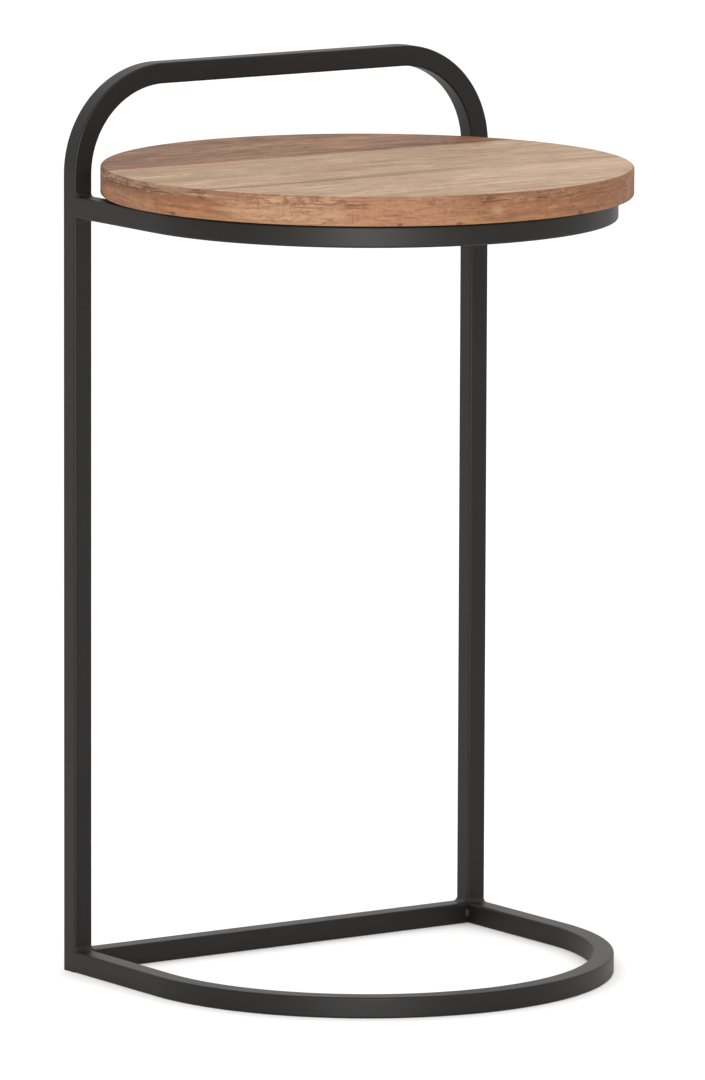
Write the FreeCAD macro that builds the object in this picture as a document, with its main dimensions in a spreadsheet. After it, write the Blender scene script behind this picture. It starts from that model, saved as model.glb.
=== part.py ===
import FreeCAD, Part
import math
import os

import Sketcher
from FreeCAD import Placement, Rotation, Vector

# A C-shaped side table: a welded frame of square steel tube that carries a round top of
# three edge-glued boards. The origin is on the floor under the centre of the top, +Z is up
# and the open front of the C faces -Y. All lengths are millimetres.
doc = FreeCAD.newDocument("SideTable")
sheet = doc.addObject("Spreadsheet::Sheet", "Sizes")

# Sizes that a maker sets, each one written once. The swing is an angle, in degrees.
driving_sizes = {
    "tube_size": "15",
    "tube_wall": "1.5",
    "tube_corner": "1.5",
    "top_diameter": "380",
    "top_thickness": "21",
    "top_height": "583",
    "top_gap": "1.5",
    "top_edge": "2",
    "back_seam": "66.5",
    "front_seam": "63",
    "top_overhang": "10",
    "top_clearance": "6.7",
    "handle_rise": "69",
    "handle_bend": "69",
    "base_leg": "104",
    "ring_leg": "103",
    "weld_leg": "4",
    "weld_sag": "0.8",
    "corner_weld_leg": "2.2",
    "corner_weld_run": "6",
    "plug_depth": "14",
    "plug_sole": "2.5",
    "plug_wall": "1.5",
    "tab_length": "26",
    "tab_width": "24",
    "tab_thickness": "4",
    "tab_round": "5",
    "tab_hole": "5",
    "tab_hole_reach": "14",
    "tab_seam_distance": "20",
    "front_tab_swing": "41.5",
    "screw_shank": "4",
    "screw_length": "16",
    "screw_point": "4",
    "screw_head": "8",
    "screw_head_height": "2.8",
    "screw_head_rim": "0.8",
    "recess_length": "4.4",
    "recess_width": "1.2",
    "recess_depth": "1.5",
    "pilot_clearance": "0.15",
}

# Sizes and places that follow from them. The posts stand as far back as the round top
# needs to pass between them with its clearance.
derived_sizes = {
    "half_tube": "=tube_size / 2",
    "bore_size": "=tube_size - 2 * tube_wall",
    "top_radius": "=top_diameter / 2",
    "frame_width": "=top_diameter - 2 * top_overhang",
    "frame_pitch": "=frame_width - tube_size",
    "bow_bend": "=frame_pitch / 2",
    "post_inner": "=frame_width / 2 - tube_size",
    "rail_length": "=2 * post_inner",
    "passing_half": "=post_inner - top_clearance",
    "post_front": "=sqrt(top_radius ^ 2 - passing_half ^ 2)",
    "post_setback": "=post_front + half_tube",
    "frame_height": "=top_height + handle_rise",
    "post_straight": "=frame_height - half_tube - handle_bend",
    "handle_straight": "=frame_pitch - 2 * handle_bend",
    "top_underside": "=top_height - top_thickness",
    "ring_top": "=top_underside - top_gap",
    "ring_middle": "=ring_top - half_tube",
    "ring_bottom": "=ring_top - tube_size",
    "ring_centre": "=post_front - ring_leg",
    "weld_run": "=tube_size - tube_corner",
    "weld_arc": "=(weld_leg ^ 2 / 2 + weld_sag ^ 2) / (2 * weld_sag)",
    "corner_weld_arc": "=weld_arc * corner_weld_leg / weld_leg",
    "plug_cavity": "=bore_size - 2 * plug_wall",
    "tab_bottom": "=top_underside - tab_thickness",
    "half_tab": "=tab_width / 2",
    "tab_inner_end": "=post_inner - tab_length",
    "screw_radius": "=post_inner - tab_hole_reach",
    "leg_tab_place": "=back_seam - tab_seam_distance",
    "front_screw_spread": "=screw_radius * sin(front_tab_swing * 1 deg)",
    "front_screw_depth": "=screw_radius * cos(front_tab_swing * 1 deg)",
    "front_screw_place": "=front_screw_depth - ring_centre",
    "tab_hole_radius": "=tab_hole / 2",
    "pilot_radius": "=screw_shank / 2 + pilot_clearance",
    "pilot_depth": "=screw_length - tab_thickness + pilot_clearance",
    "shank_radius": "=screw_shank / 2",
    "head_radius": "=screw_head / 2",
    "shank_straight": "=screw_length - screw_point",
    "dome_height": "=screw_head_height - screw_head_rim",
    "dome_radius": "=(head_radius ^ 2 + dome_height ^ 2) / (2 * dome_height)",
}

for row, (alias, text) in enumerate({**driving_sizes, **derived_sizes}.items(), start=1):
    sheet.set(f"A{row}", alias)
    sheet.set(f"B{row}", text)
    sheet.setAlias(f"B{row}", alias)
doc.recompute()

sub_parts = []
SIDES = {"left": -1, "right": 1}
ORIGIN_POINT = (-1, 1)
X_AXIS = -1
START, END, CENTRE = range(1, 4)


def size(alias):
    return float(sheet.get(alias))


def place(target, x="0", y="0", z="0", turn=Rotation()):
    """Turn a sub-part and tie its place to the sheet."""
    target.Placement = Placement(Vector(), turn)
    for axis, expression in zip("xyz", (x, y, z)):
        target.setExpression(f"Placement.Base.{axis}", expression)


def add_body(label):
    body = doc.addObject("PartDesign::Body", label)
    body.Label = label
    return body


def add_sketch(body, name, role, lift=None):
    """Lay a sketch on one of the body's own origin planes, raised by an expression."""
    sketch = body.newObject("Sketcher::SketchObject", f"{body.Name}_{name}")
    planes = {feature.Role: feature for feature in body.Origin.OriginFeatures}
    sketch.AttachmentSupport = [(planes[role], "")]
    sketch.MapMode = "FlatFace"
    if lift:
        sketch.setExpression("AttachmentOffset.Base.z", lift)
    return sketch


def dimension(sketch, kind, *reference, alias):
    """Add a dimension to the sketch and tie it to a cell of the sheet."""
    index = sketch.addConstraint(Sketcher.Constraint(kind, *reference, size(alias)))
    sketch.setExpression(f"Constraints[{index}]", f"Sizes.{alias}")


def relate(sketch, kind, *reference):
    sketch.addConstraint(Sketcher.Constraint(kind, *reference))


def add_line(sketch, start, end):
    return sketch.addGeometry(Part.LineSegment(Vector(*start, 0), Vector(*end, 0)), False)


def add_arc(sketch, centre, radius, first_degrees, last_degrees):
    circle = Part.Circle(Vector(*centre, 0), Vector(0, 0, 1), radius)
    arc = Part.ArcOfCircle(circle, math.radians(first_degrees), math.radians(last_degrees))
    return sketch.addGeometry(arc, False)


def add_circle(sketch, centre, alias):
    circle = sketch.addGeometry(Part.Circle(Vector(*centre, 0), Vector(0, 0, 1), size(alias)), False)
    dimension(sketch, "Radius", circle, alias=alias)
    return circle


def add_rectangle(sketch, width_alias, height_alias):
    """Draw a rectangle centred on the sketch's origin."""
    half_width = size(width_alias) / 2
    half_height = size(height_alias) / 2
    corners = [
        (-half_width, -half_height),
        (half_width, -half_height),
        (half_width, half_height),
        (-half_width, half_height),
    ]
    sides = [add_line(sketch, corners[k - 1], corners[k]) for k in range(len(corners))]
    left, bottom, right, top = sides
    for side, following in zip(sides, sides[1:] + sides[:1]):
        relate(sketch, "Coincident", side, END, following, START)
    for kind, side in (("Vertical", left), ("Horizontal", bottom), ("Vertical", right), ("Horizontal", top)):
        relate(sketch, kind, side)
    dimension(sketch, "DistanceX", bottom, START, bottom, END, alias=width_alias)
    dimension(sketch, "DistanceY", right, START, right, END, alias=height_alias)
    relate(sketch, "Symmetric", bottom, START, top, START, *ORIGIN_POINT)


def add_tube_section(sketch):
    """Draw the section of the square tube: rounded outside, sharp bore."""
    half = size("half_tube")
    corner = size("tube_corner")
    flat = half - corner
    outline = []
    for quarter in range(4):
        turn = Rotation(Vector(0, 0, 1), 90 * quarter)
        start = turn.multVec(Vector(-flat, -half, 0))
        end = turn.multVec(Vector(flat, -half, 0))
        centre = turn.multVec(Vector(flat, -flat, 0))
        outline.append(add_line(sketch, start[:2], end[:2]))
        outline.append(add_arc(sketch, centre[:2], corner, 90 * quarter - 90, 90 * quarter))
    for piece, following in zip(outline, outline[1:] + outline[:1]):
        relate(sketch, "Tangent", piece, END, following, START)
    bottom, first_arc, right, second_arc, top, third_arc, left, fourth_arc = outline
    for kind, side in (("Horizontal", bottom), ("Vertical", right), ("Horizontal", top), ("Vertical", left)):
        relate(sketch, kind, side)
    dimension(sketch, "Radius", first_arc, alias="tube_corner")
    for arc in (second_arc, third_arc, fourth_arc):
        relate(sketch, "Equal", first_arc, arc)
    dimension(sketch, "DistanceX", left, START, right, START, alias="tube_size")
    dimension(sketch, "DistanceY", bottom, START, top, START, alias="tube_size")
    relate(sketch, "Symmetric", first_arc, CENTRE, third_arc, CENTRE, *ORIGIN_POINT)
    add_rectangle(sketch, "bore_size", "bore_size")


def add_pad(body, sketch, length, symmetric=False):
    pad = body.newObject("PartDesign::Pad", f"{body.Name}_Pad")
    pad.Profile = sketch
    pad.SideType = "Symmetric" if symmetric else "One side"
    pad.setExpression("Length", length)
    return pad


def add_pocket(body, sketch, name, depth=None):
    """Cut upwards from the sketch, to a depth or right through, and see that it cuts."""
    doc.recompute()
    volume_before = body.Shape.Volume
    pocket = body.newObject("PartDesign::Pocket", f"{body.Name}_{name}")
    pocket.Profile = sketch
    pocket.Reversed = True
    if depth:
        pocket.setExpression("Length", depth)
    else:
        pocket.Type = "ThroughAll"
    doc.recompute()
    if body.Shape.Volume >= volume_before:
        raise RuntimeError(f"{pocket.Name} cuts nothing")


def add_pipe(body, section, path):
    """Sweep the tube's section along a path of straight runs and tangent bends."""
    pipe = body.newObject("PartDesign::AdditivePipe", f"{body.Name}_Pipe")
    pipe.Profile = section
    pipe.Spine = (path, [f"Edge{k + 1}" for k in range(path.GeometryCount)])


def add_fillet(body, base, radius, chosen):
    """Round the edges of a feature for which the test holds."""
    doc.recompute()
    names = [f"Edge{k}" for k, edge in enumerate(base.Shape.Edges, start=1) if chosen(edge)]
    fillet = body.newObject("PartDesign::Fillet", f"{body.Name}_Fillet")
    fillet.Base = (base, names)
    fillet.setExpression("Radius", radius)


# Frame tubes
def make_handle_frame():
    """Bend one tube into the two posts and the carrying handle between them."""
    body = add_body("handle_frame")
    path = add_sketch(body, "Path", "XZ_Plane")
    bend = size("handle_bend")
    straight = size("post_straight")
    pitch = size("frame_pitch")
    top = straight + bend
    left_post = add_line(path, (0, 0), (0, straight))
    left_bend = add_arc(path, (bend, straight), bend, 90, 180)
    bridge = add_line(path, (bend, top), (pitch - bend, top))
    right_bend = add_arc(path, (pitch - bend, straight), bend, 0, 90)
    right_post = add_line(path, (pitch, straight), (pitch, 0))
    relate(path, "Coincident", left_post, START, *ORIGIN_POINT)
    relate(path, "Tangent", left_post, END, left_bend, END)
    relate(path, "Tangent", left_bend, START, bridge, START)
    relate(path, "Tangent", bridge, END, right_bend, END)
    relate(path, "Tangent", right_bend, START, right_post, START)
    relate(path, "Vertical", left_post)
    relate(path, "Horizontal", bridge)
    relate(path, "Vertical", right_post)
    relate(path, "PointOnObject", right_post, END, X_AXIS)
    relate(path, "Equal", left_bend, right_bend)
    dimension(path, "Radius", left_bend, alias="handle_bend")
    dimension(path, "DistanceY", left_post, START, left_post, END, alias="post_straight")
    dimension(path, "DistanceX", bridge, START, bridge, END, alias="handle_straight")
    section = add_sketch(body, "Section", "XY_Plane")
    add_tube_section(section)
    add_pipe(body, section, path)
    place(body, x="-Sizes.frame_pitch / 2", y="Sizes.post_setback")
    sub_parts.append(body)


def make_bow(label, leg_alias, height):
    """Bend a tube into a U whose legs butt on the posts' front faces."""
    body = add_body(label)
    path = add_sketch(body, "Path", "XY_Plane")
    leg = size(leg_alias)
    bend = size("bow_bend")
    left_leg = add_line(path, (0, 0), (0, -leg))
    curve = add_arc(path, (bend, -leg), bend, 180, 360)
    right_leg = add_line(path, (2 * bend, -leg), (2 * bend, 0))
    relate(path, "Coincident", left_leg, START, *ORIGIN_POINT)
    relate(path, "Tangent", left_leg, END, curve, START)
    relate(path, "Tangent", curve, END, right_leg, START)
    relate(path, "Vertical", left_leg)
    relate(path, "Vertical", right_leg)
    relate(path, "PointOnObject", right_leg, END, X_AXIS)
    dimension(path, "Radius", curve, alias="bow_bend")
    dimension(path, "DistanceY", left_leg, END, left_leg, START, alias=leg_alias)
    section = add_sketch(body, "Section", "XZ_Plane")
    add_tube_section(section)
    add_pipe(body, section, path)
    place(body, x="-Sizes.frame_pitch / 2", y="Sizes.post_front", z=height)
    sub_parts.append(body)


def make_base_rail():
    """Cut a straight tube to fit between the posts at the floor."""
    body = add_body("base_rail")
    section = add_sketch(body, "Section", "YZ_Plane")
    add_tube_section(section)
    add_pad(body, section, "Sizes.rail_length", symmetric=True)
    place(body, y="Sizes.post_setback", z="Sizes.half_tube")
    sub_parts.append(body)


# Foot plugs
def make_foot_plug(side):
    """Mould a square cup that fills the open lower end of a post."""
    body = add_body(f"{side}_foot_plug")
    outline = add_sketch(body, "Outline", "XY_Plane")
    add_rectangle(outline, "bore_size", "bore_size")
    add_pad(body, outline, "Sizes.plug_depth")
    cavity = add_sketch(body, "Cavity", "XY_Plane", lift="Sizes.plug_sole")
    add_rectangle(cavity, "plug_cavity", "plug_cavity")
    add_pocket(body, cavity, "Hollow")
    place(body, x=f"{SIDES[side]} * Sizes.frame_pitch / 2", y="Sizes.post_setback")
    sub_parts.append(body)


# Weld beads
def make_weld(label, corner, first_way, second_way, kind="weld"):
    """Lay a hollow fillet bead of a kind in the corner that two flat tube faces make."""
    body = add_body(label)
    profile = add_sketch(body, "Profile", "XY_Plane")
    leg = size(f"{kind}_leg")
    arc_radius = size(f"{kind}_arc")
    half_chord = math.hypot(leg, leg) / 2
    centre_reach = half_chord + math.sqrt(arc_radius ** 2 - half_chord ** 2)
    centre = centre_reach * math.cos(math.radians(45))
    toe_degrees = math.degrees(math.atan2(centre - leg, centre))
    first_toe = add_line(profile, (0, 0), (leg, 0))
    face = add_arc(profile, (centre, centre), arc_radius, 180 + toe_degrees, 270 - toe_degrees)
    second_toe = add_line(profile, (0, leg), (0, 0))
    relate(profile, "Coincident", first_toe, START, *ORIGIN_POINT)
    relate(profile, "Coincident", second_toe, END, *ORIGIN_POINT)
    relate(profile, "Coincident", first_toe, END, face, END)
    relate(profile, "Coincident", face, START, second_toe, START)
    relate(profile, "Horizontal", first_toe)
    relate(profile, "Vertical", second_toe)
    relate(profile, "Equal", first_toe, second_toe)
    dimension(profile, "DistanceX", first_toe, START, first_toe, END, alias=f"{kind}_leg")
    dimension(profile, "Radius", face, alias=f"{kind}_arc")
    add_pad(body, profile, f"Sizes.{kind}_run", symmetric=True)
    turn = Rotation(first_way, second_way, first_way.cross(second_way), "XYZ")
    place(body, *corner, turn=turn)
    sub_parts.append(body)


def make_side_welds(side):
    """Join the tubes on one side of the table."""
    sign = SIDES[side]
    inner_face = f"{sign} * Sizes.post_inner"
    post_axis = f"{sign} * Sizes.frame_pitch / 2"
    front_face = "Sizes.post_front"
    inward, forward = Vector(-sign, 0, 0), Vector(0, -1, 0)
    upward, downward = Vector(0, 0, 1), Vector(0, 0, -1)
    rail_top = (inner_face, "Sizes.post_setback", "Sizes.tube_size")
    base_leg_top = (post_axis, front_face, "Sizes.tube_size")
    base_corner = (inner_face, front_face, "Sizes.half_tube")
    ring_leg_top = (post_axis, front_face, "Sizes.ring_top")
    ring_leg_under = (post_axis, front_face, "Sizes.ring_bottom")
    make_weld(f"{side}_rail_weld", rail_top, inward, upward)
    make_weld(f"{side}_base_weld", base_leg_top, forward, upward)
    make_weld(f"{side}_corner_weld", base_corner, inward, forward, kind="corner_weld")
    make_weld(f"{side}_ring_top_weld", ring_leg_top, forward, upward)
    make_weld(f"{side}_ring_under_weld", ring_leg_under, forward, downward)


# Tabs that hold the wooden top
def make_leg_tab(side):
    """Weld a flat tab to the inner face of a ring leg."""
    body = add_body(f"{side}_leg_tab")
    outline = add_sketch(body, "Outline", "XY_Plane")
    length = size("tab_length")
    half = size("half_tab")
    reach = size("tab_hole_reach")
    seat = add_line(outline, (0, half), (0, -half))
    near = add_line(outline, (0, -half), (length, -half))
    tip = add_line(outline, (length, -half), (length, half))
    far = add_line(outline, (length, half), (0, half))
    for edge, following in ((seat, near), (near, tip), (tip, far), (far, seat)):
        relate(outline, "Coincident", edge, END, following, START)
    for kind, edge in (("Vertical", seat), ("Horizontal", near), ("Vertical", tip), ("Horizontal", far)):
        relate(outline, kind, edge)
    relate(outline, "Symmetric", seat, START, seat, END, *ORIGIN_POINT)
    dimension(outline, "DistanceY", tip, START, tip, END, alias="tab_width")
    dimension(outline, "DistanceX", near, START, near, END, alias="tab_length")
    hole = add_circle(outline, (reach, 0), "tab_hole_radius")
    relate(outline, "PointOnObject", hole, CENTRE, X_AXIS)
    dimension(outline, "DistanceX", *ORIGIN_POINT, hole, CENTRE, alias="tab_hole_reach")
    pad = add_pad(body, outline, "Sizes.tab_thickness")
    add_fillet(body, pad, "Sizes.tab_round", lambda edge: is_upright_at(edge, length))
    turn = Rotation(Vector(0, 0, 1), 0 if side == "left" else 180)
    place(body, f"{SIDES[side]} * Sizes.post_inner", "Sizes.leg_tab_place", "Sizes.tab_bottom", turn)
    sub_parts.append(body)


def make_front_tab(side):
    """Weld a flat tab to the curved inner face of the ring."""
    body = add_body(f"{side}_front_tab")
    outline = add_sketch(body, "Outline", "XY_Plane")
    ring_inner = size("post_inner")
    half = size("half_tab")
    inner_end = size("tab_inner_end")
    seat_degrees = math.degrees(math.asin(half / ring_inner))
    shoulder = math.sqrt(ring_inner ** 2 - half ** 2)
    seat = add_arc(outline, (0, 0), ring_inner, -seat_degrees, seat_degrees)
    far = add_line(outline, (shoulder, half), (inner_end, half))
    tip = add_line(outline, (inner_end, half), (inner_end, -half))
    near = add_line(outline, (inner_end, -half), (shoulder, -half))
    for edge, following in ((seat, far), (far, tip), (tip, near), (near, seat)):
        relate(outline, "Coincident", edge, END, following, START)
    for kind, edge in (("Horizontal", far), ("Vertical", tip), ("Horizontal", near)):
        relate(outline, kind, edge)
    relate(outline, "Coincident", seat, CENTRE, *ORIGIN_POINT)
    dimension(outline, "Radius", seat, alias="post_inner")
    dimension(outline, "DistanceX", *ORIGIN_POINT, tip, START, alias="tab_inner_end")
    dimension(outline, "DistanceY", *ORIGIN_POINT, tip, START, alias="half_tab")
    dimension(outline, "DistanceY", tip, END, tip, START, alias="tab_width")
    hole = add_circle(outline, (size("screw_radius"), 0), "tab_hole_radius")
    relate(outline, "PointOnObject", hole, CENTRE, X_AXIS)
    dimension(outline, "DistanceX", *ORIGIN_POINT, hole, CENTRE, alias="screw_radius")
    pad = add_pad(body, outline, "Sizes.tab_thickness")
    add_fillet(body, pad, "Sizes.tab_round", lambda edge: is_upright_at(edge, inner_end))
    turn = Rotation(Vector(0, 0, 1), -90 + SIDES[side] * size("front_tab_swing"))
    place(body, "0", "Sizes.ring_centre", "Sizes.tab_bottom", turn)
    sub_parts.append(body)


def is_upright_at(edge, x):
    ends = [vertex.Point for vertex in edge.Vertexes]
    return len(ends) == 2 and all(math.isclose(end.x, x) for end in ends) and ends[0].z != ends[1].z


# Screws
def make_screw_blank():
    """Turn one pan-head wood screw: shank up, head below its bearing face."""
    body = add_body("screw_blank")
    profile = add_sketch(body, "Profile", "XZ_Plane")
    shank = size("shank_radius")
    head = size("head_radius")
    rim = size("screw_head_rim")
    crown = size("screw_head_height")
    straight = size("shank_straight")
    dome = size("dome_radius")
    dome_degrees = math.degrees(math.asin(head / dome))
    axis = add_line(profile, (0, size("screw_length")), (0, -crown))
    cap = add_arc(profile, (0, dome - crown), dome, 270, 270 + dome_degrees)
    edge = add_line(profile, (head, -rim), (head, 0))
    seat = add_line(profile, (head, 0), (shank, 0))
    side = add_line(profile, (shank, 0), (shank, straight))
    point = add_line(profile, (shank, straight), (0, size("screw_length")))
    outline = [axis, cap, edge, seat, side, point]
    for piece, following in zip(outline, outline[1:] + outline[:1]):
        relate(profile, "Coincident", piece, END, following, START)
    for kind, piece in (("Vertical", axis), ("Vertical", edge), ("Horizontal", seat), ("Vertical", side)):
        relate(profile, kind, piece)
    relate(profile, "Vertical", axis, END, *ORIGIN_POINT)
    relate(profile, "Vertical", cap, CENTRE, *ORIGIN_POINT)
    relate(profile, "PointOnObject", seat, START, X_AXIS)
    dimension(profile, "DistanceY", axis, END, *ORIGIN_POINT, alias="screw_head_height")
    dimension(profile, "DistanceY", *ORIGIN_POINT, axis, START, alias="screw_length")
    dimension(profile, "DistanceY", edge, START, edge, END, alias="screw_head_rim")
    dimension(profile, "DistanceX", *ORIGIN_POINT, edge, END, alias="head_radius")
    dimension(profile, "DistanceX", *ORIGIN_POINT, side, START, alias="shank_radius")
    dimension(profile, "DistanceY", side, START, side, END, alias="shank_straight")
    turning = body.newObject("PartDesign::Revolution", "screw_blank_Turning")
    turning.Profile = profile
    turning.ReferenceAxis = (profile, ["V_Axis"])
    for name, width, height in (
        ("Slot", "recess_length", "recess_width"),
        ("Cross", "recess_width", "recess_length"),
    ):
        recess = add_sketch(body, name, "XY_Plane", lift="-Sizes.screw_head_height")
        add_rectangle(recess, width, height)
        add_pocket(body, recess, f"{name}Cut", depth="Sizes.recess_depth")
    return body


def make_screws():
    """Set one screw in each tab, as four like solids."""
    blank = make_screw_blank()
    places = []
    for side, sign in SIDES.items():
        places.append((f"{side}_leg", f"{sign} * Sizes.screw_radius", "Sizes.leg_tab_place"))
        places.append((f"{side}_front", f"{sign} * Sizes.front_screw_spread", "-Sizes.front_screw_place"))
    screws = []
    for name, x, y in places:
        screw = doc.addObject("App::Link", f"{name}_screw")
        screw.LinkedObject = blank
        place(screw, x, y, "Sizes.tab_bottom")
        screws.append(screw)
    group = doc.addObject("Part::Compound", "top_screws")
    group.Label = "top_screws"
    group.Links = screws
    sub_parts.append(group)


# Boards of the round top
def add_pilot_holes(body, x_alias, y_alias):
    """Drill the pair of blind holes that the screws bite into, from below."""
    holes = add_sketch(body, "Pilots", "XY_Plane")
    for sign in SIDES.values():
        hole = add_circle(holes, (sign * size(x_alias), size(y_alias)), "pilot_radius")
        from_origin = (*ORIGIN_POINT, hole, CENTRE)
        to_origin = (hole, CENTRE, *ORIGIN_POINT)
        dimension(holes, "DistanceX", *(from_origin if sign > 0 else to_origin), alias=x_alias)
        dimension(holes, "DistanceY", *from_origin, alias=y_alias)
    add_pocket(body, holes, "PilotHoles", depth="Sizes.pilot_depth")


def ease_rim(body, pad):
    """Round the upper and lower edge of the round rim."""
    add_fillet(body, pad, "Sizes.top_edge", lambda edge: isinstance(edge.Curve, Part.Circle))


def make_outer_board(label, seam_alias, turn_degrees):
    """Cut a board with one glued edge and one round edge."""
    body = add_body(label)
    outline = add_sketch(body, "Outline", "XY_Plane")
    radius = size("top_radius")
    seam = size(seam_alias)
    half_chord = math.sqrt(radius ** 2 - seam ** 2)
    rise_degrees = math.degrees(math.asin(seam / radius))
    glued = add_line(outline, (-half_chord, seam), (half_chord, seam))
    rim = add_arc(outline, (0, 0), radius, rise_degrees, 180 - rise_degrees)
    relate(outline, "Coincident", glued, END, rim, START)
    relate(outline, "Coincident", rim, END, glued, START)
    relate(outline, "Coincident", rim, CENTRE, *ORIGIN_POINT)
    relate(outline, "Horizontal", glued)
    dimension(outline, "Radius", rim, alias="top_radius")
    dimension(outline, "DistanceY", *ORIGIN_POINT, glued, START, alias=seam_alias)
    pad = add_pad(body, outline, "Sizes.top_thickness")
    ease_rim(body, pad)
    place(body, z="Sizes.top_underside", turn=Rotation(Vector(0, 0, 1), turn_degrees))
    sub_parts.append(body)
    return body


def make_middle_board():
    """Cut the board between the two seams, round at both ends."""
    body = add_body("middle_board")
    outline = add_sketch(body, "Outline", "XY_Plane")
    radius = size("top_radius")
    back = size("back_seam")
    front = size("front_seam")
    back_degrees = math.degrees(math.asin(back / radius))
    front_degrees = math.degrees(math.asin(front / radius))
    back_half = math.sqrt(radius ** 2 - back ** 2)
    front_half = math.sqrt(radius ** 2 - front ** 2)
    right_rim = add_arc(outline, (0, 0), radius, -front_degrees, back_degrees)
    back_edge = add_line(outline, (back_half, back), (-back_half, back))
    left_rim = add_arc(outline, (0, 0), radius, 180 - back_degrees, 180 + front_degrees)
    front_edge = add_line(outline, (-front_half, -front), (front_half, -front))
    edges = [right_rim, back_edge, left_rim, front_edge]
    for edge, following in zip(edges, edges[1:] + edges[:1]):
        relate(outline, "Coincident", edge, END, following, START)
    for rim in (right_rim, left_rim):
        relate(outline, "Coincident", rim, CENTRE, *ORIGIN_POINT)
    relate(outline, "Horizontal", back_edge)
    relate(outline, "Horizontal", front_edge)
    dimension(outline, "Radius", right_rim, alias="top_radius")
    dimension(outline, "DistanceY", *ORIGIN_POINT, back_edge, START, alias="back_seam")
    dimension(outline, "DistanceY", front_edge, START, *ORIGIN_POINT, alias="front_seam")
    pad = add_pad(body, outline, "Sizes.top_thickness")
    ease_rim(body, pad)
    place(body, z="Sizes.top_underside")
    sub_parts.append(body)
    return body


make_handle_frame()
make_base_rail()
make_bow("base_bow", "base_leg", "Sizes.half_tube")
make_bow("ring_bow", "ring_leg", "Sizes.ring_middle")
for side in SIDES:
    make_foot_plug(side)
    make_side_welds(side)
    make_leg_tab(side)
    make_front_tab(side)
make_screws()
make_outer_board("back_board", "back_seam", 0)
middle_board = make_middle_board()
add_pilot_holes(middle_board, "screw_radius", "leg_tab_place")
front_board = make_outer_board("front_board", "front_seam", 180)
add_pilot_holes(front_board, "front_screw_spread", "front_screw_place")
doc.recompute()

for item in doc.Objects:
    if "Invalid" in item.State or "Error" in item.State:
        raise RuntimeError(f"{item.Label} failed: {item.State}")
for part in sub_parts:
    if part.Shape.isNull() or not part.Shape.isValid():
        raise RuntimeError(f"{part.Label} has no valid shape")

os.makedirs("parts", exist_ok=True)
for part in sub_parts:
    part.Shape.exportStep(f"parts/{part.Label}.step")
    print(part.Label, len(part.Shape.Solids), round(part.Shape.Volume, 1))
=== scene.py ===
import math

import bmesh
import bpy
from mathutils import Matrix, Vector, noise


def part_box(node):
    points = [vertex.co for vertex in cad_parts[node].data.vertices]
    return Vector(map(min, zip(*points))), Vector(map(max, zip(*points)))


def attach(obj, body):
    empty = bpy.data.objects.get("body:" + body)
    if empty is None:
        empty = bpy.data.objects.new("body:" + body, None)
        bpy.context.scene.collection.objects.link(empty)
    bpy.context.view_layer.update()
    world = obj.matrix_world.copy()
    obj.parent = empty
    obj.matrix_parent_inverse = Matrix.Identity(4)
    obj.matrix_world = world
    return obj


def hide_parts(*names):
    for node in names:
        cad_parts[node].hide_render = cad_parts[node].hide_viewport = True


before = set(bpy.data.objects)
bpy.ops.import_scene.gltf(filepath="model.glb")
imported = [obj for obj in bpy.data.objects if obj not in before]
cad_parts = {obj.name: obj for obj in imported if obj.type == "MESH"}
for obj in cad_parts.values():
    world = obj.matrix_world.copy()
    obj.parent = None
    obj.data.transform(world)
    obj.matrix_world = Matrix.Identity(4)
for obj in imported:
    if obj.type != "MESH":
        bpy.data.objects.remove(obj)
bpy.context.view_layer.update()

# Posts and carrying handle
# One length of square steel tube, cold bent into an upside-down U: two posts with the handle
# between them. The lower ends are cut square and left open for the foot plugs. The whole frame
# is powder coated in satin black after welding.
handle_low, handle_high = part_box("handle_frame")
plug_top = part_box("left_foot_plug")[1].z
tube_size = handle_high.y - handle_low.y
half_tube = tube_size / 2
tube_wall = 0.0015
tube_corner = 0.0015
corner_steps = 6
handle_bend = 0.069
handle_bend_steps = 44
post_axis = handle_high.x - half_tube
post_inner = handle_high.x - tube_size
post_middle = (handle_low.y + handle_high.y) / 2
post_front = handle_low.y
bend_level = handle_high.z - half_tube - handle_bend
handle_half = post_axis - handle_bend
right_angle = math.radians(90)
sharp_angle = math.radians(40)
merge_distance = 0.00001
across_posts = (0, 1, 0)
coat_deep = (0.0042, 0.0032, 0.0025, 1)
coat_pale = (0.0080, 0.0064, 0.0052, 1)
coat_specular = 0.265
coat_gloss_tint = (1.0, 0.975, 0.945, 1)
pebble_depth = 0.00006


class Shade:
    """A shader socket, so that sums and products of sockets read as plain Python."""

    def __init__(self, tree, socket=None):
        self.tree = tree
        self.socket = socket

    def node(self, kind, settings, inputs, output=0):
        """Add a node: its settings first, then the values or links of its sockets."""
        node = self.tree.nodes.new(kind)
        for name, value in settings.items():
            setattr(node, name, value)
        for name, value in inputs.items():
            if isinstance(value, Shade):
                self.tree.links.new(value.socket, node.inputs[name])
            else:
                node.inputs[name].default_value = value
        return Shade(self.tree, node.outputs[output])

    def maths(self, operation, first, second):
        return self.node("ShaderNodeMath", {"operation": operation}, {0: first, 1: second})

    def vector(self, operation, other):
        return self.node("ShaderNodeVectorMath", {"operation": operation}, {0: self, 1: other})

    def __add__(self, other):
        return self.maths("ADD", self, other)

    def __radd__(self, other):
        return self.maths("ADD", other, self)

    def __sub__(self, other):
        return self.maths("SUBTRACT", self, other)

    def __rsub__(self, other):
        return self.maths("SUBTRACT", other, self)

    def __mul__(self, other):
        return self.maths("MULTIPLY", self, other)

    def __rmul__(self, other):
        return self.maths("MULTIPLY", other, self)

    def __pow__(self, other):
        return self.maths("POWER", self, other)

    def __abs__(self):
        return self.maths("ABSOLUTE", self, 0.0)

    def into(self, socket):
        self.tree.links.new(self.socket, socket)


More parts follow.
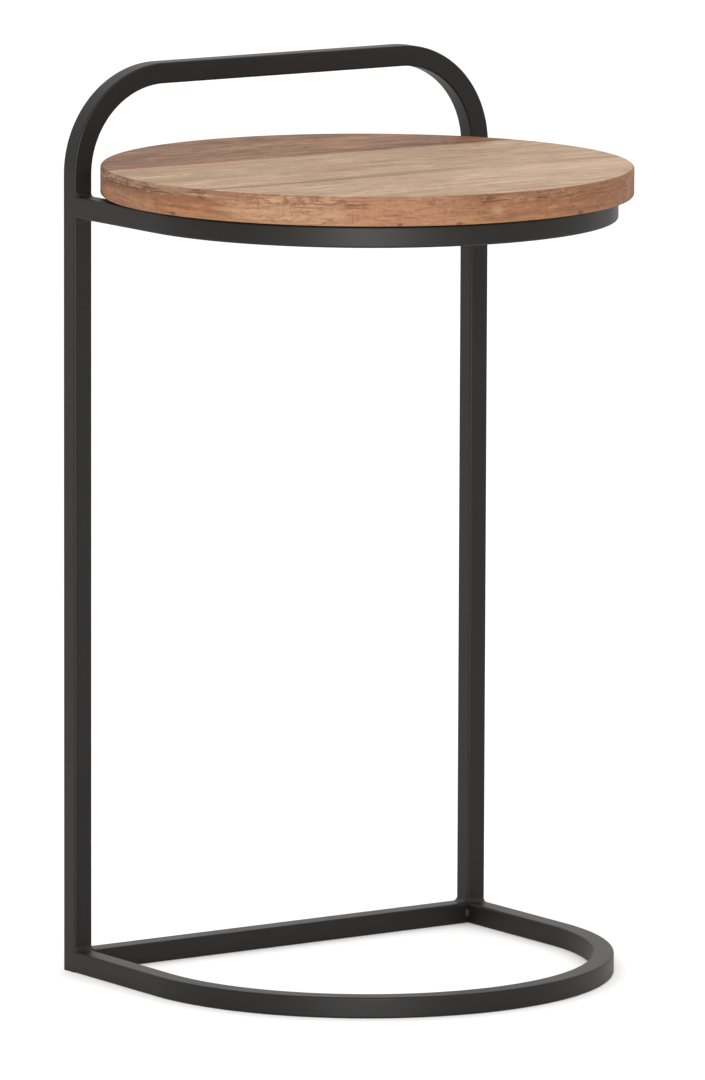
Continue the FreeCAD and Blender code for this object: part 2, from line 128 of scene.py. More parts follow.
def start_finish(name):
    """Open a finish and give its material, its shader and the place on the piece."""
    material = bpy.data.materials.new(name)
    material.use_nodes = True
    tree = material.node_tree
    place = Shade(tree).node("ShaderNodeTexCoord", {}, {}, output="Object")
    return material, tree.nodes["Principled BSDF"], place


def grain(place, stretch, detail=2.0, roughness=0.5):
    """Noise from 0 to 1 that repeats so many times a metre along each axis."""
    stretched = place.vector("MULTIPLY", stretch)
    sockets = {"Vector": stretched, "Scale": 1.0, "Detail": detail, "Roughness": roughness}
    return place.node("ShaderNodeTexNoise", {}, sockets)


def tint(share, first, second):
    """Mix two colours by the share of the second."""
    return share.node("ShaderNodeMix", {"data_type": "RGBA"}, {0: share, 6: first, 7: second}, output=2)


def emboss(height, depth, shader):
    """Raise the surface by a height from 0 to 1 that stands for a real depth."""
    height.node("ShaderNodeBump", {}, {"Distance": depth, "Height": height}).into(shader.inputs["Normal"])


def powder_coat():
    """Satin black powder: a fine pebbled skin, a little uneven in depth and gloss."""
    material, shader, place = start_finish("satin_black_powder")
    cloud = grain(place, (24, 24, 24), detail=3)
    pebbles = grain(place, (1100, 1100, 1100), detail=2)
    flow = grain(place, (240, 240, 240), detail=1)
    tint(cloud, coat_deep, coat_pale).into(shader.inputs["Base Color"])
    (0.40 + 0.12 * cloud + 0.08 * pebbles).into(shader.inputs["Roughness"])
    shader.inputs["Specular IOR Level"].default_value = coat_specular
    shader.inputs["Specular Tint"].default_value = coat_gloss_tint
    emboss(0.6 * pebbles + 0.4 * flow, pebble_depth, shader)
    return material


def square_section(mesh, place):
    """Draw the tube's rounded square section at a place, and give its face."""
    square = bmesh.ops.create_grid(mesh, x_segments=1, y_segments=1, size=half_tube)
    rounded = bmesh.ops.bevel(
        mesh,
        geom=square["verts"],
        offset=tube_corner,
        segments=corner_steps,
        profile=0.5,
        affect="VERTICES",
        material=-1,
    )
    bmesh.ops.transform(mesh, matrix=place, verts=rounded["verts"])
    return rounded["verts"][0].link_faces[0]


def run_on(mesh, face, way):
    """Lengthen a tube from its end face by a straight run, and give the new end."""
    geom = [face, *face.edges, *face.verts]
    grown = bmesh.ops.extrude_face_region(mesh, geom=geom)["geom"]
    end = next(item for item in grown if isinstance(item, bmesh.types.BMFace))
    bmesh.ops.translate(mesh, vec=way, verts=end.verts)
    return end


def bend_on(mesh, face, centre, axis, turn, steps):
    """Lengthen a tube from its end face round a bend, and give the new end."""
    geom = [face, *face.edges, *face.verts]
    bent = bmesh.ops.spin(mesh, geom=geom, cent=centre, axis=axis, angle=turn, steps=steps)
    return next(item for item in bent["geom_last"] if isinstance(item, bmesh.types.BMFace))


def settle(name, mesh, material, node):
    """Make a modelled piece an object of the table that stands for its node."""
    bmesh.ops.remove_doubles(mesh, verts=mesh.verts, dist=merge_distance)
    bmesh.ops.recalc_face_normals(mesh, faces=mesh.faces)
    data = bpy.data.meshes.new(name)
    mesh.to_mesh(data)
    mesh.free()
    data.shade_smooth()
    data.set_sharp_from_angle(angle=sharp_angle)
    data.materials.append(material)
    piece = bpy.data.objects.new(name, data)
    bpy.context.scene.collection.objects.link(piece)
    flats = piece.modifiers.new("even_flats", "WEIGHTED_NORMAL")
    flats.keep_sharp = True
    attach(piece, "root")
    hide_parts(node)


satin_black = powder_coat()

handle_mesh = bmesh.new()
end = square_section(handle_mesh, Matrix.Translation((-post_axis, post_middle, 0)))
end = run_on(handle_mesh, end, (0, 0, bend_level))
left_centre = (-handle_half, post_middle, bend_level)
end = bend_on(handle_mesh, end, left_centre, across_posts, right_angle, handle_bend_steps)
end = run_on(handle_mesh, end, (2 * handle_half, 0, 0))
right_centre = (handle_half, post_middle, bend_level)
end = bend_on(handle_mesh, end, right_centre, across_posts, right_angle, handle_bend_steps)
run_on(handle_mesh, end, (0, 0, -bend_level))
feet = [face for face in handle_mesh.faces if all(vert.co.z < merge_distance for vert in face.verts)]
for foot in feet:
    bmesh.ops.inset_region(handle_mesh, faces=[foot], thickness=tube_wall, use_even_offset=True)
    run_on(handle_mesh, foot, (0, 0, plug_top))
settle("posts_and_handle", handle_mesh, satin_black, "handle_frame")

# Floor rail
# A straight length of the same tube between the posts, level with the floor. It is sawn square
# and welded to the inner faces of both posts.
rail_low, rail_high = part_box("base_rail")
facing_right = Matrix.Rotation(right_angle, 4, "Y")

rail_mesh = bmesh.new()
rail_start = Matrix.Translation((rail_low.x, post_middle, half_tube)) @ facing_right
end = square_section(rail_mesh, rail_start)
run_on(rail_mesh, end, (rail_high.x - rail_low.x, 0, 0))
settle("floor_rail", rail_mesh, satin_black, "base_rail")

# Floor bow and top ring
# Two lengths of tube, each rolled into a U whose straight legs butt on the front faces of the
# posts. The lower one lies on the floor, the upper one carries the wooden top.
bow_steps = 128
facing_front = Matrix.Rotation(right_angle, 4, "X")


def roll_bow(name, node):
    """Roll a tube into a U that fills the box of its node."""
    low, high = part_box(node)
    middle_height = (low.z + high.z) / 2
    curve_centre = (0, low.y + high.x, middle_height)
    leg = high.y - curve_centre[1]
    mesh = bmesh.new()
    start = square_section(mesh, Matrix.Translation((-post_axis, high.y, middle_height)) @ facing_front)
    end = run_on(mesh, start, (0, -leg, 0))
    end = bend_on(mesh, end, curve_centre, (0, 0, 1), 2 * right_angle, bow_steps)
    run_on(mesh, end, (0, leg, 0))
    settle(name, mesh, satin_black, node)


roll_bow("floor_bow", "base_bow")
roll_bow("top_ring", "ring_bow")

# Weld beads
# Ten short beads of weld metal join the tubes: hollow fillets in the corners, and metal run
# into the seams beside them, which is ground flush with the sides of the tubes.
bead_low, bead_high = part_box("left_rail_weld")
bead_leg = bead_high.x - bead_low.x
bead_run = bead_high.y - bead_low.y
corner_low, corner_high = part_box("left_corner_weld")
corner_leg = corner_high.x - corner_low.x
corner_run = corner_high.z - corner_low.z
bead_sag_share = 0.2
bead_arc_steps = 8
bead_slices = 48
ripple_pitch = 0.0017
ripple_share = 0.02
bead_end_share = 0.5
bead_taper_share = 0.14
ring_low, ring_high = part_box("ring_bow")


def bead_swell(share, run):
    """Size of a bead at a share of its run: drawn in at its ends and rippled between."""
    to_end = min(share, 1 - share) / bead_taper_share
    ends = bead_end_share + (1 - bead_end_share) * math.sqrt(min(to_end, 1))
    return ends * (1 + ripple_share * math.cos(2 * math.pi * share * run / ripple_pitch))


def lay_bead(mesh, leg, run, corner, first_way, second_way):
    """Lay a hollow bead in the corner between two faces."""
    half_chord = math.hypot(leg, leg) / 2
    sag = bead_sag_share * leg
    arc_radius = (half_chord ** 2 + sag ** 2) / (2 * sag)
    reach = (half_chord + math.sqrt(arc_radius ** 2 - half_chord ** 2)) / math.sqrt(2)
    sweep = 2 * math.asin(half_chord / arc_radius)
    mesh.verts.new((0, 0, 0))
    toe = mesh.verts.new((leg, 0, 0))
    arc_centre = (reach, reach, 0)
    bmesh.ops.spin(mesh, geom=[toe], cent=arc_centre, axis=(0, 0, 1), angle=-sweep, steps=bead_arc_steps)
    end = mesh.faces.new(mesh.verts)
    swell = bead_swell(0, run)
    bmesh.ops.scale(mesh, vec=(swell, swell, 1), verts=mesh.verts)
    bmesh.ops.translate(mesh, vec=(0, 0, -run / 2), verts=mesh.verts)
    for slice_number in range(1, bead_slices + 1):
        end = run_on(mesh, end, (0, 0, run / bead_slices))
        next_swell = bead_swell(slice_number / bead_slices, run)
        bmesh.ops.scale(mesh, vec=(next_swell / swell, next_swell / swell, 1), verts=end.verts)
        swell = next_swell
    place = Matrix((first_way, second_way, first_way.cross(second_way))).transposed().to_4x4()
    place.translation = corner
    bmesh.ops.transform(mesh, matrix=place, verts=mesh.verts)


def fill_seam(mesh, place, way):
    """Run metal on from a tube's end into the rounded corners that it meets."""
    run_on(mesh, square_section(mesh, place), tube_corner * way)


upward, forward, backward = Vector((0, 0, 1)), Vector((0, -1, 0)), Vector((0, 1, 0))
for side, sign in {"left": -1, "right": 1}.items():
    inward, outward = Vector((-sign, 0, 0)), Vector((sign, 0, 0))
    leg_end = Vector((sign * post_axis, post_front, 0))
    rail_end = Vector((sign * post_inner, post_middle, 0))
    base_corner = Vector((sign * post_inner, post_front, half_tube))
    ring_middle = Vector((0, 0, ring_low.z + half_tube))
    beads = {
        "rail": (bead_leg, bead_run, rail_end + tube_size * upward, inward, upward),
        "base": (bead_leg, bead_run, leg_end + tube_size * upward, forward, upward),
        "corner": (corner_leg, corner_run, base_corner, inward, forward),
        "ring_top": (bead_leg, bead_run, leg_end + ring_high.z * upward, forward, upward),
        "ring_under": (bead_leg, bead_run, leg_end + ring_low.z * upward, forward, -upward),
    }
    seams = {
        "rail": (Matrix.Translation(rail_end + half_tube * upward) @ facing_right, outward),
        "base": (Matrix.Translation(leg_end + half_tube * upward) @ facing_front, backward),
        "ring_top": (Matrix.Translation(leg_end + ring_middle) @ facing_front, backward),
    }
    for joint, bead in beads.items():
        bead_mesh = bmesh.new()
        lay_bead(bead_mesh, *bead)
        if joint in seams:
            fill_seam(bead_mesh, *seams[joint])
        settle(f"{side}_{joint}_bead", bead_mesh, satin_black, f"{side}_{joint}_weld")

# Foot plugs
# Two moulded black plastic plugs, pressed into the open lower ends of the posts. Only the
# dished sole shows, flush with the cut tube.
plug_ease = 0.0006
plug_ease_steps = 3
plug_rim = 0.0022
plug_dish = 0.0005
plastic_deep = (0.014, 0.014, 0.014, 1)
plastic_pale = (0.026, 0.026, 0.025, 1)
spark_depth = 0.00004


def moulded_plastic():
    """Matt black plastic with the spark-eroded grain of its mould."""
    material, shader, place = start_finish("moulded_black_plastic")
    spark = grain(place, (2200, 2200, 2200), detail=2)
    scuff = grain(place, (160, 900, 160), detail=3)
    tint(scuff, plastic_deep, plastic_pale).into(shader.inputs["Base Color"])
    (0.5 + 0.2 * scuff).into(shader.inputs["Roughness"])
    emboss(spark, spark_depth, shader)
    return material


black_plastic = moulded_plastic()
for side in ("left", "right"):
    low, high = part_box(f"{side}_foot_plug")
    plug_mesh = bmesh.new()
    size = Matrix.Diagonal((*(high - low), 1))
    bmesh.ops.create_cube(plug_mesh, size=1, matrix=Matrix.Translation((low + high) / 2) @ size)
    bmesh.ops.bevel(
        plug_mesh,
        geom=list(plug_mesh.edges),
        offset=plug_ease,
        segments=plug_ease_steps,
        profile=0.5,
        affect="EDGES",
        material=-1,
    )
    sole = min(plug_mesh.faces, key=lambda face: face.calc_center_median().z)
    bmesh.ops.inset_region(plug_mesh, faces=[sole], thickness=plug_rim, use_even_offset=True)
    bmesh.ops.inset_region(
        plug_mesh, faces=[sole], thickness=plug_dish, depth=-plug_dish, use_even_offset=True
    )
    settle(f"{side}_foot_cap", plug_mesh, black_plastic, f"{side}_foot_plug")

# Tabs under the top
# Four flat steel tabs with a hole each, cut from plate and coated with the frame. They are
# welded inside the ring, a little proud of its upper side, so that the wood rests on them.
for tab in ("left_leg_tab", "right_leg_tab", "left_front_tab", "right_front_tab"):
    for material_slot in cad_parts[tab].material_slots:
        material_slot.material = satin_black

# Screws
# Four zinc plated pan-head wood screws, driven up through the tabs into the boards. Only the
# heads show, from below.
zinc_cool = (0.56, 0.57, 0.60, 1)
zinc_warm = (0.66, 0.63, 0.56, 1)
turning_depth = 0.00002


def zinc_plate():
    """Bright zinc with a faint yellow cast and turning marks."""
    material, shader, place = start_finish("zinc_plated_steel")
    cast = grain(place, (380, 380, 380), detail=2)
    turning = grain(place, (300, 300, 5200), detail=2)
    tint(cast, zinc_cool, zinc_warm).into(shader.inputs["Base Color"])
    (0.26 + 0.18 * turning).into(shader.inputs["Roughness"])
    shader.inputs["Metallic"].default_value = 1.0
    emboss(turning, turning_depth, shader)
    return material


zinc = zinc_plate()
for material_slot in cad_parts["top_screws"].material_slots:
    material_slot.material = zinc

# Boards of the round top
# Three planks of reclaimed hardwood, glued edge to edge with the grain along the handle and
# sawn to one disc. The flat top is sanded and bleached, the rim keeps its redder heart, saw
# marks and old checks, and its edges are eased by hand.
back_low, back_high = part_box("back_board")
front_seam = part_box("front_board")[1].y
back_seam = back_low.y
top_radius = back_high.y
top_level = back_high.z
top_underside = back_low.z
top_thickness = top_level - top_underside
rim_ease = 0.002
rim_ease_steps = 5
rim_segments = 900
rim_cuts = 15

# Hand easing and pits of the rim: their depth, and how often they come in a metre
wear_depth = 0.00022
wear_pitch = Vector((45, 45, 90))
pit_depth = 0.00055
pit_pitch = Vector((130, 130, 420))
pit_threshold = 0.18
pit_start_share = 0.55
pit_fade_share = 0.2

# Chips of the lower edge: degrees round from the right, width and depth
chips = (
    (-170.6, 0.0030, 0.0014),
    (-104.9, 0.0022, 0.0011),
    (-72.4, 0.0028, 0.0012),
    (-117.7, 0.0016, 0.0006),
    (-52.0, 0.0020, 0.0008),
    (28.0, 0.0030, 0.0012),
    (101.0, 0.0024, 0.0010),
    (131.0, 0.0018, 0.0008),
)

# Darker colour in the chips: its height, spread and strength, how far in from the edge the rim's
# colour reaches for it, and the depths below the upper edge between which that starts
chip_height = 0.0010
chip_spread = 1.8
chip_strength = 0.85
chip_reach = 0.0022
chip_levels = (0.004, 0.008)

# Stretches of the rim: degrees round from the right, half width in degrees and strength
bleached_stretches = (
    (-131.0, 26.0, 0.85),
    (-196.0, 17.0, 0.60),
    (-40.0, 16.0, 0.45),
    (60.0, 26.0, 0.60),
)
orange_stretches = ((-171.0, 12.0, 0.70), (-78.0, 7.0, 0.30), (150.0, 18.0, 0.60))
# Stretches where the grey weathered skin, and the painted shade under the upper edge, are strongest
worn_and_shaded_stretches = ((-184.0, 25.0, 0.95), (40.0, 20.0, 0.70), (110.0, 24.0, 0.85))
split_stretches = (
    *worn_and_shaded_stretches,
    (-138.0, 15.0, 0.70),
    (-106.0, 8.0, 0.35),
    (-91.0, 10.0, 0.90),
    (-71.0, 10.0, 0.70),
)
stretch_end_share = 1.15
stretch_full_share = 0.75

# Depths below the upper edge where the rim's layers start and end
skin_and_shade_waver = 0.009
skin_and_shade_end = (0.0046, 0.0066)
heart_start = (0.0052, 0.0066)
heart_end = (0.0090, 0.0125)
nick_end = (0.0055, 0.0095)

# Heights above the underside where the painted highlight along the lower eased edge ends, and how far in
# the face turns into the rim
painted_foot_highlight = (0.0010, 0.0030)
face_inset = 0.0018
rim_inset = 0.0008

# Checks along the rim: depth below the upper edge, shift of the noise, half width and strength
rim_checks = (
    (0.0056, 0.0, 0.0008, 0.75),
    (0.0030, 3.1, 0.0005, 0.65),
    (0.0076, 5.7, 0.0004, 0.60),
)
check_waver = 0.007

# The front seam: how wide it stands open, and the places of the darker band and the faded wood by it
seam_edge = (0.0012, 0.0042)
seam_close = 3.0
band_start = (0, 0.003)
band_end = (0.005, 0.019)
band_left = (-0.11, -0.05)
band_right = (0.01, 0.075)
fade_front = (-0.060, -0.015)
fade_back = (-0.002, 0)
fade_left = (-0.03, 0.04)

ring_pitch = 0.0046
ring_sway = 0.02
fibre_depth = 0.00035
wood_specular = 0.22
rim_deep = (0.140, 0.058, 0.026, 1)
rim_pale = (0.248, 0.119, 0.061, 1)
rim_orange = (0.350, 0.160, 0.076, 1)
rim_rosy = (0.215, 0.090, 0.047, 1)
rim_ochre = (0.300, 0.160, 0.070, 1)
rim_heart = (0.170, 0.066, 0.034, 1)
skin_and_shade_grey = (0.215, 0.135, 0.084, 1)
rim_splinter = (0.40, 0.25, 0.165, 1)
rim_bleached = (0.349, 0.206, 0.123, 1)
faded_colour = (0.56, 0.405, 0.260, 1)
seam_colour = (0.130, 0.072, 0.040, 1)
check_colour = (0.076, 0.034, 0.019, 1)
nick_colour = (0.098, 0.038, 0.020, 1)
knot_pale = (0.34, 0.22, 0.135, 1)
dark_knot_and_chip = (0.080, 0.036, 0.022, 1)

# Knots of the rim and the darker colour in its chips: degrees, height, reach, strength and colour
knots = (
    (-96.1, 0.0090, 0.0078, 0.38, knot_pale),
    (-99.4, 0.0092, 0.0018, 0.70, dark_knot_and_chip),
    (-128.7, 0.0140, 0.0028, 0.50, dark_knot_and_chip),
    (-115.3, 0.0093, 0.0014, 0.60, dark_knot_and_chip),
    (-118.5, 0.0078, 0.0011, 0.60, dark_knot_and_chip),
    (64.0, 0.0100, 0.0060, 0.40, knot_pale),
    *((degrees, chip_height, chip_spread * width, chip_strength, dark_knot_and_chip) for degrees, width, _ in chips),
)
knot_stretch = (1, 1, 1.6)


def on_rim(degrees, height):
    """A point of the rim at an angle from the right, above the underside."""
    turn = math.radians(degrees)
    return Vector((top_radius * math.cos(turn), top_radius * math.sin(turn), top_underside + height))


def rim_dent(point):
    """How deep hand easing, old checks and chips cut into the rim at a point."""
    wear = 0.5 + 0.5 * noise.noise(point * wear_pitch)
    pits = max(noise.noise(point * pit_pitch) - pit_threshold, 0)
    height_share = (point.z - top_underside) / top_thickness
    upper = min(max(height_share - pit_start_share, 0) / pit_fade_share, 1)
    dent = wear_depth * wear + pit_depth * pits * upper
    for degrees, width, depth in chips:
        distance = (point - on_rim(degrees, 0)).length
        dent += depth * math.exp(-((distance / width) ** 2))
    return dent


def saw_board(far_cut, near_cut):
    """Saw the part of the round disc that lies between two cuts across it."""
    mesh = bmesh.new()
    disc = bmesh.ops.create_circle(mesh, cap_ends=True, segments=rim_segments, radius=top_radius)
    bmesh.ops.translate(mesh, vec=(0, 0, top_underside), verts=disc["verts"])
    run_on(mesh, disc["verts"][0].link_faces[0], (0, 0, top_thickness))
    bmesh.ops.bevel(
        mesh,
        geom=[edge for edge in mesh.edges if edge.verts[0].co.z == edge.verts[1].co.z],
        offset=rim_ease,
        segments=rim_ease_steps,
        profile=0.5,
        affect="EDGES",
        material=-1,
    )
    straight = top_thickness - 2 * rim_ease
    uprights = [edge for edge in mesh.edges if abs(edge.verts[0].co.z - edge.verts[1].co.z) > straight / 2]
    bmesh.ops.subdivide_edges(mesh, edges=uprights, cuts=rim_cuts, use_grid_fill=True)
    for cut, outer in ((far_cut, 1), (near_cut, -1)):
        if abs(cut) >= top_radius:
            continue
        sawn = bmesh.ops.bisect_plane(
            mesh,
            geom=[*mesh.verts, *mesh.edges, *mesh.faces],
            dist=merge_distance,
            plane_co=(0, cut, 0),
            plane_no=(0, outer, 0),
            clear_outer=True,
        )
        loop = [item for item in sawn["geom_cut"] if isinstance(item, bmesh.types.BMEdge)]
        bmesh.ops.edgeloop_fill(mesh, edges=loop)
    for vert in mesh.verts:
        flat = Vector((vert.co.x, vert.co.y, 0))
        share = min(max((flat.length - top_radius + rim_ease) / rim_ease, 0), 1)
        vert.co -= flat.normalized() * share * rim_dent(vert.co)
    return mesh


def axes_of(place):
    """The three coordinates of a place."""
    return [place.node("ShaderNodeSeparateXYZ", {}, {"Vector": place}, output=axis) for axis in range(3)]


def between(value, low, high):
    """Rise smoothly from 0 to 1 as a value passes from low to high."""
    sockets = {"Value": value, "From Min": low, "From Max": high}
    return value.node("ShaderNodeMapRange", {"interpolation_type": "SMOOTHSTEP"}, sockets)


def contour(value, width):
    """Thin lines where a noise passes its middle."""
    return 1 - between(abs(value - 0.5), 0.2 * width, width)


def front_joint(place, colour):
    """Colour by the front seam: a darker band behind it, faded wood before it, and the open joint."""
    x, y, _ = axes_of(place)
    behind_seam = y - front_seam
    # A darker band just behind the seam, from left of centre and weaker to the right.
    seam_band = between(behind_seam, *band_start) * (1 - between(behind_seam, *band_end))
    seam_band = seam_band * between(x, *band_left) * (1 - 0.65 * between(x, *band_right))
    colour = tint(seam_band * 0.42, colour, seam_colour)
    faded = between(behind_seam, *fade_front) * (1 - between(behind_seam, *fade_back))
    colour = tint(faded * between(x, *fade_left) * 0.28, colour, faded_colour)
    near_seam = 1 - between(abs(behind_seam), *seam_edge)
    opened = between(grain(place, (14, 0.5, 0.5), detail=3) - seam_close * x, 0.38, 0.58)
    return tint(near_seam * opened * 0.75, colour, seam_colour)


def planed_face(place, moved, tones, pith):
    """Colour of the planed faces: growth rings, streaks, flecks and lines, and the front seam."""
    _, y, z = axes_of(place)
    deep, pale, flush = tones
    beside, above = y - pith[0], z - pith[1]
    sway = grain(moved, (1.6, 8, 8), detail=2)
    ring_reach = (beside * beside + above * above) ** 0.5 + ring_sway * sway
    ring_turn = ring_reach * (2 * math.pi / ring_pitch)
    ring_wave = place.node("ShaderNodeMath", {"operation": "SINE"}, {0: ring_turn})
    late_wood = between(ring_wave, 0.1, 0.95)
    broad = between(grain(moved, (4, 30, 30), detail=3), 0.34, 0.66)
    streaks = between(grain(moved, (25, 155, 155), detail=6, roughness=0.74), 0.33, 0.67)
    patches = between(grain(moved, (13, 30, 30), detail=4, roughness=0.6), 0.46, 0.60)
    flecks = between(grain(moved, (110, 260, 260), detail=4, roughness=0.6), 0.53, 0.67)
    lines = contour(grain(moved, (4, 70, 70), detail=4), 0.045)
    lines = lines * between(grain(moved, (9, 30, 30)), 0.40, 0.60)
    colour = tint(0.25 * broad + 0.75 * streaks, deep, pale)
    colour = tint(patches * 0.65, colour, flush)
    colour = tint(lines * 0.5, colour, deep)
    colour = tint(flecks * 0.55 + late_wood * 0.18, colour, deep)
    return front_joint(place, colour)


def along_rim(x, y, stretches):
    """Sum of stretches of the rim, each with its own strength and faded out at both ends."""
    total = 0.0
    for degrees, half_width, strength in stretches:
        middle = on_rim(degrees, -top_underside).normalized()
        facing = (x * middle.x + y * middle.y) * (1 / top_radius)
        edge = math.cos(math.radians(half_width * stretch_end_share))
        full = math.cos(math.radians(half_width * stretch_full_share))
        total = between(facing, edge, full) * strength + total
    return total


def saw_scars(place):
    """Dashes, ripples, scars and scratches that the saw left on the rim."""
    dashes = between(grain(place, (105, 105, 640), detail=3), 0.55, 0.65)
    ripples = contour(grain(place, (30, 30, 190), detail=4), 0.04)
    scars = contour(grain(place, (150, 150, 26), detail=3), 0.035)
    scars = scars * between(grain(place, (45, 45, 110), detail=2), 0.50, 0.60)
    scratches = contour(grain(place, (90, 90, 240), detail=3), 0.035)
    scratches = scratches * between(grain(place, (38, 38, 60), detail=2), 0.50, 0.60)
    return 0.40 * dashes + 0.35 * ripples + 0.25 * scars + 0.42 * scratches


def weathered_skin_and_shade(place, below, worn_and_shaded, colour):
    """Colour with the grey weathered skin below the upper edge, which also paints the shade under the eased
    edge, its splinters and the heartwood under it.
    """
    ragged = below + skin_and_shade_waver * (grain(place, (34, 34, 120), detail=4) - 0.5)
    skin_and_shade = (1 - between(ragged, *skin_and_shade_end)) * (0.10 + 0.90 * worn_and_shaded)
    heart = between(ragged, *heart_start) * (1 - between(below, *heart_end)) * worn_and_shaded
    colour = tint(heart * 0.75, colour, rim_heart)
    # Painted shade and weathering: the band under the eased upper edge is tinted grey and darker. It stands
    # for the shade under that edge as well as the weathered skin.
    colour = tint(skin_and_shade * 0.70, colour, skin_and_shade_grey)
    mottled = between(grain(place, (52, 52, 260), detail=4, roughness=0.62), 0.42, 0.62)
    colour = tint(skin_and_shade * mottled * 0.38, colour, check_colour)
    splinters = between(grain(place, (30, 30, 380), detail=4), 0.52, 0.66) * skin_and_shade
    return tint(splinters * 0.75, colour, rim_splinter)


def short_nicks(place, below, split):
    """Short nicks close to the upper edge, where the rim is split."""
    nicks = contour(grain(place, (64, 64, 170), detail=4, roughness=0.6), 0.06)
    nicks = nicks * between(grain(place, (26, 26, 70), detail=2), 0.40, 0.52)
    return nicks * (1 - between(below, *nick_end)) * split


def long_checks(place, below, split):
    """Old checks that wander along the rim, where it is split."""
    checks = 0.0
    for depth, drift, half_width, strength in rim_checks:
        drifted = place.vector("ADD", (drift, drift, drift))
        wander = grain(drifted, (17, 17, 0.4), detail=4, roughness=0.6) - 0.5
        away = abs(below + check_waver * wander - depth)
        broken = between(grain(drifted, (46, 46, 30), detail=2), 0.40, 0.56)
        line = 1 - between(away, 0.3 * half_width, half_width)
        checks = line * broken * split * strength + checks
    return checks


def sawn_rim(place):
    """Colour of the sawn rim, and how deep its marks and checks are."""
    x, y, z = axes_of(place)
    height, below = z - top_underside, top_level - z
    bleached = along_rim(x, y, bleached_stretches)
    worn_and_shaded = along_rim(x, y, worn_and_shaded_stretches)
    split = along_rim(x, y, split_stretches)
    long_grain = between(grain(place, (30, 30, 330), detail=6, roughness=0.66), 0.30, 0.70)
    rosy = between(grain(place, (13, 13, 36), detail=3), 0.46, 0.62)
    ochre = between(grain(place, (24, 24, 75), detail=3), 0.54, 0.68)
    blade_lines = between(grain(place, (520, 520, 24), detail=2), 0.40, 0.75)
    marks = saw_scars(place)
    colour = tint(bleached, rim_pale, rim_bleached)
    colour = tint(along_rim(x, y, orange_stretches), colour, rim_orange)
    colour = tint((0.85 - 0.45 * bleached) * (1 - long_grain), colour, rim_deep)
    colour = tint(rosy * 0.65, colour, rim_rosy)
    colour = tint(ochre * 0.55, colour, rim_ochre)
    colour = tint(marks + 0.14 * blade_lines, colour, rim_deep)
    # Painted highlight: the rim is paler just above its underside, where the lower eased edge catches the
    # light.
    colour = tint((1 - between(height, *painted_foot_highlight)) * 0.35, colour, rim_pale)
    colour = weathered_skin_and_shade(place, below, worn_and_shaded, colour)
    nicks = short_nicks(place, below, split)
    colour = tint(nicks * 0.75, colour, nick_colour)
    checks = long_checks(place, below, split)
    colour = tint(between(checks, 0, 1), colour, check_colour)
    for degrees, knot_height, knot_reach, strength, knot_colour in knots:
        offset = place.vector("SUBTRACT", on_rim(degrees, knot_height)).vector("MULTIPLY", knot_stretch)
        away = offset.node("ShaderNodeVectorMath", {"operation": "LENGTH"}, {0: offset}, output=1)
        knot = 1 - between(away * (0.45 + 1.1 * long_grain), 0.2 * knot_reach, knot_reach)
        colour = tint(knot * strength, colour, knot_colour)
    return colour, checks + 0.5 * nicks + 0.4 * marks


def board_wood(name, tones, pith, shift):
    """Solid wood with its grain along the handle, paler on top and redder on the rim."""
    material, shader, place = start_finish(name)
    x, y, z = axes_of(place)
    moved = place.vector("ADD", shift)
    radius = (x * x + y * y) ** 0.5
    lower = between(top_level - z, *chip_levels)
    rim = between(radius + chip_reach * lower, top_radius - face_inset, top_radius - rim_inset)
    rim_colour, hollows = sawn_rim(place)
    colour = tint(rim, planed_face(place, moved, tones, pith), rim_colour)
    fibres = grain(moved, (26, 700, 700), detail=3, roughness=0.6)
    pores = between(grain(moved, (70, 1500, 1500), detail=1), 0.60, 0.74)
    colour = tint(pores * 0.35, colour, check_colour)
    sockets = {0: 1.0, 6: colour, 7: 0.80 + 0.40 * fibres}
    colour = place.node("ShaderNodeMix", {"data_type": "RGBA", "blend_type": "MULTIPLY"}, sockets, output=2)
    colour.into(shader.inputs["Base Color"])
    shader.inputs["Specular IOR Level"].default_value = wood_specular
    (0.56 + 0.14 * fibres + 0.10 * rim).into(shader.inputs["Roughness"])
    emboss(0.35 * fibres - 0.8 * hollows * rim - 0.15 * pores, fibre_depth, shader)
    return material


# Each board: its far and near cuts, its tones, its pith behind and above, and the grain's shift
past_rim = 2 * top_radius
back_tones = ((0.070, 0.027, 0.009, 1), (0.415, 0.196, 0.082, 1), (0.245, 0.103, 0.064, 1))
middle_tones = ((0.250, 0.149, 0.082, 1), (0.535, 0.371, 0.240, 1), (0.380, 0.240, 0.141, 1))
front_tones = ((0.260, 0.158, 0.088, 1), (0.530, 0.370, 0.240, 1), (0.415, 0.265, 0.160, 1))
boards = {
    "back": (past_rim, back_seam, back_tones, (0.16, 0.40), (3.37, 0.61, 0.23)),
    "middle": (back_seam, front_seam, middle_tones, (0.02, 0.34), (1.47, 0.83, 0.29)),
    "front": (front_seam, -past_rim, front_tones, (-0.10, 0.30), (2.71, 1.59, 0.67)),
}
for board, (far_cut, near_cut, tones, pith, shift) in boards.items():
    wood = board_wood(f"{board}_plank_wood", tones, pith, shift)
    settle(f"{board}_plank", saw_board(far_cut, near_cut), wood, f"{board}_board")

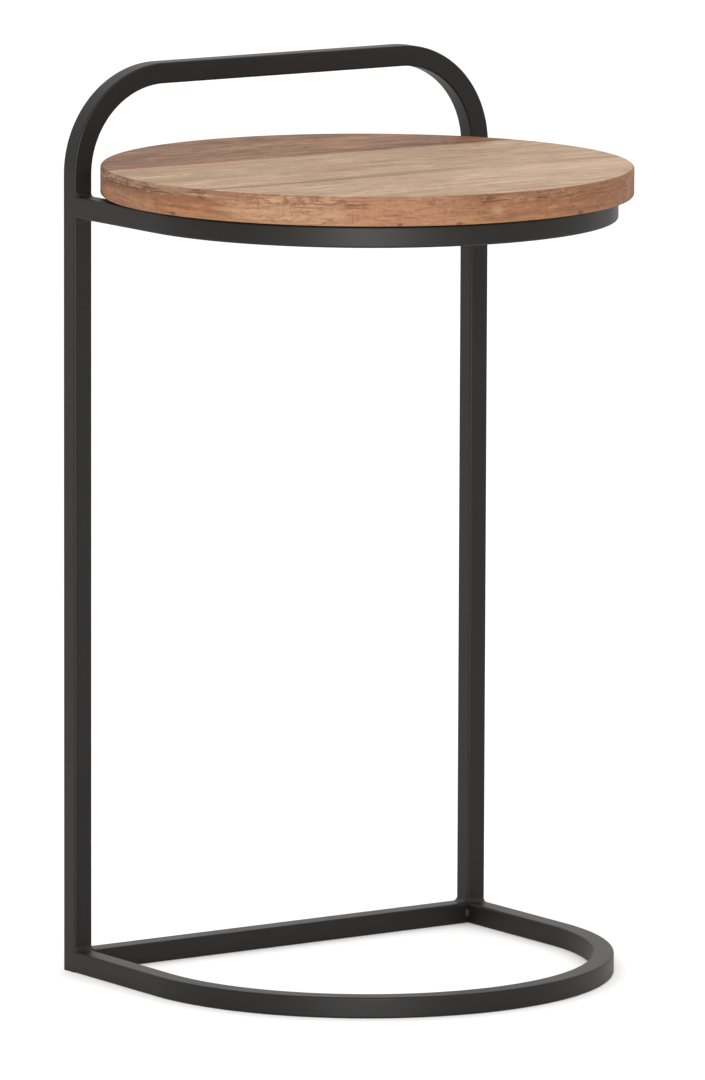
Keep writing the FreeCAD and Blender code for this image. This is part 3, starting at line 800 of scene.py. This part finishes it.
# Studio
# A pale seamless floor, one wide soft light beside the camera, and a white surround that is
# brighter above and behind the table. The camera stands where the photograph was taken.
floor_half = 30
floor_squares = 8
floor_deep = (0.90, 0.90, 0.90, 1)
floor_pale = (0.94, 0.94, 0.94, 1)
floor_mesh = bmesh.new()
bmesh.ops.create_grid(floor_mesh, x_segments=floor_squares, y_segments=floor_squares, size=floor_half)
floor_data = bpy.data.meshes.new("studio_floor")
floor_mesh.to_mesh(floor_data)
floor_mesh.free()
floor_material, floor_shader, floor_place = start_finish("pale_floor")
mottle = grain(floor_place, (3, 3, 3), detail=3)
tint(mottle, floor_deep, floor_pale).into(floor_shader.inputs["Base Color"])
(0.75 + 0.15 * mottle).into(floor_shader.inputs["Roughness"])
floor_data.materials.append(floor_material)
floor = bpy.data.objects.new("studio_floor", floor_data)
bpy.context.scene.collection.objects.link(floor)

camera_place = (-4.34427, -6.28984, 1.49960)
camera_heading = math.radians(-34.56)
camera_tilt = math.radians(8.826)
camera_roll = math.radians(0.21)
camera_lens = 360.8
camera_reach = 200
turned = Matrix.Rotation(camera_heading, 4, "Z")
tilted = Matrix.Rotation(right_angle - camera_tilt, 4, "X")
rolled = Matrix.Rotation(camera_roll, 4, "Z")
camera_data = bpy.data.cameras.new("photo_camera")
camera_data.lens = camera_lens
camera_data.clip_end = camera_reach
camera = bpy.data.objects.new("photo_camera", camera_data)
camera.matrix_world = Matrix.Translation(camera_place) @ turned @ tilted @ rolled
bpy.context.scene.collection.objects.link(camera)
bpy.context.scene.camera = camera

surround_colour = (1, 1, 1, 1)
horizon_light = 0.60
zenith_gain = 0.87
backdrop_gain = 0.42
world = bpy.data.worlds.new("white_surround")
world.use_nodes = True
surround = world.node_tree.nodes["Background"]
surround.inputs["Color"].default_value = surround_colour
direction = Shade(world.node_tree).node("ShaderNodeTexCoord", {}, {}, output="Generated")
across, onward, upright = axes_of(direction)
behind = across * -math.sin(camera_heading) + onward * math.cos(camera_heading)
(horizon_light + zenith_gain * upright + backdrop_gain * behind).into(surround.inputs["Strength"])
bpy.context.scene.world = world
bpy.context.scene.view_settings.view_transform = "Standard"

key_place = Vector((-2.8, -4.1, 1.2))
key_target = Vector((0, 0, 0.4))
key_size = 2.2
key_power = 255
key_data = bpy.data.lights.new("key_light", "AREA")
key_data.size = key_size
key_data.energy = key_power
key_light = bpy.data.objects.new("key_light", key_data)
key_light.location = key_place
key_light.rotation_euler = (key_target - key_place).to_track_quat("-Z", "Y").to_euler()
key_light.visible_camera = False
bpy.context.scene.collection.objects.link(key_light)
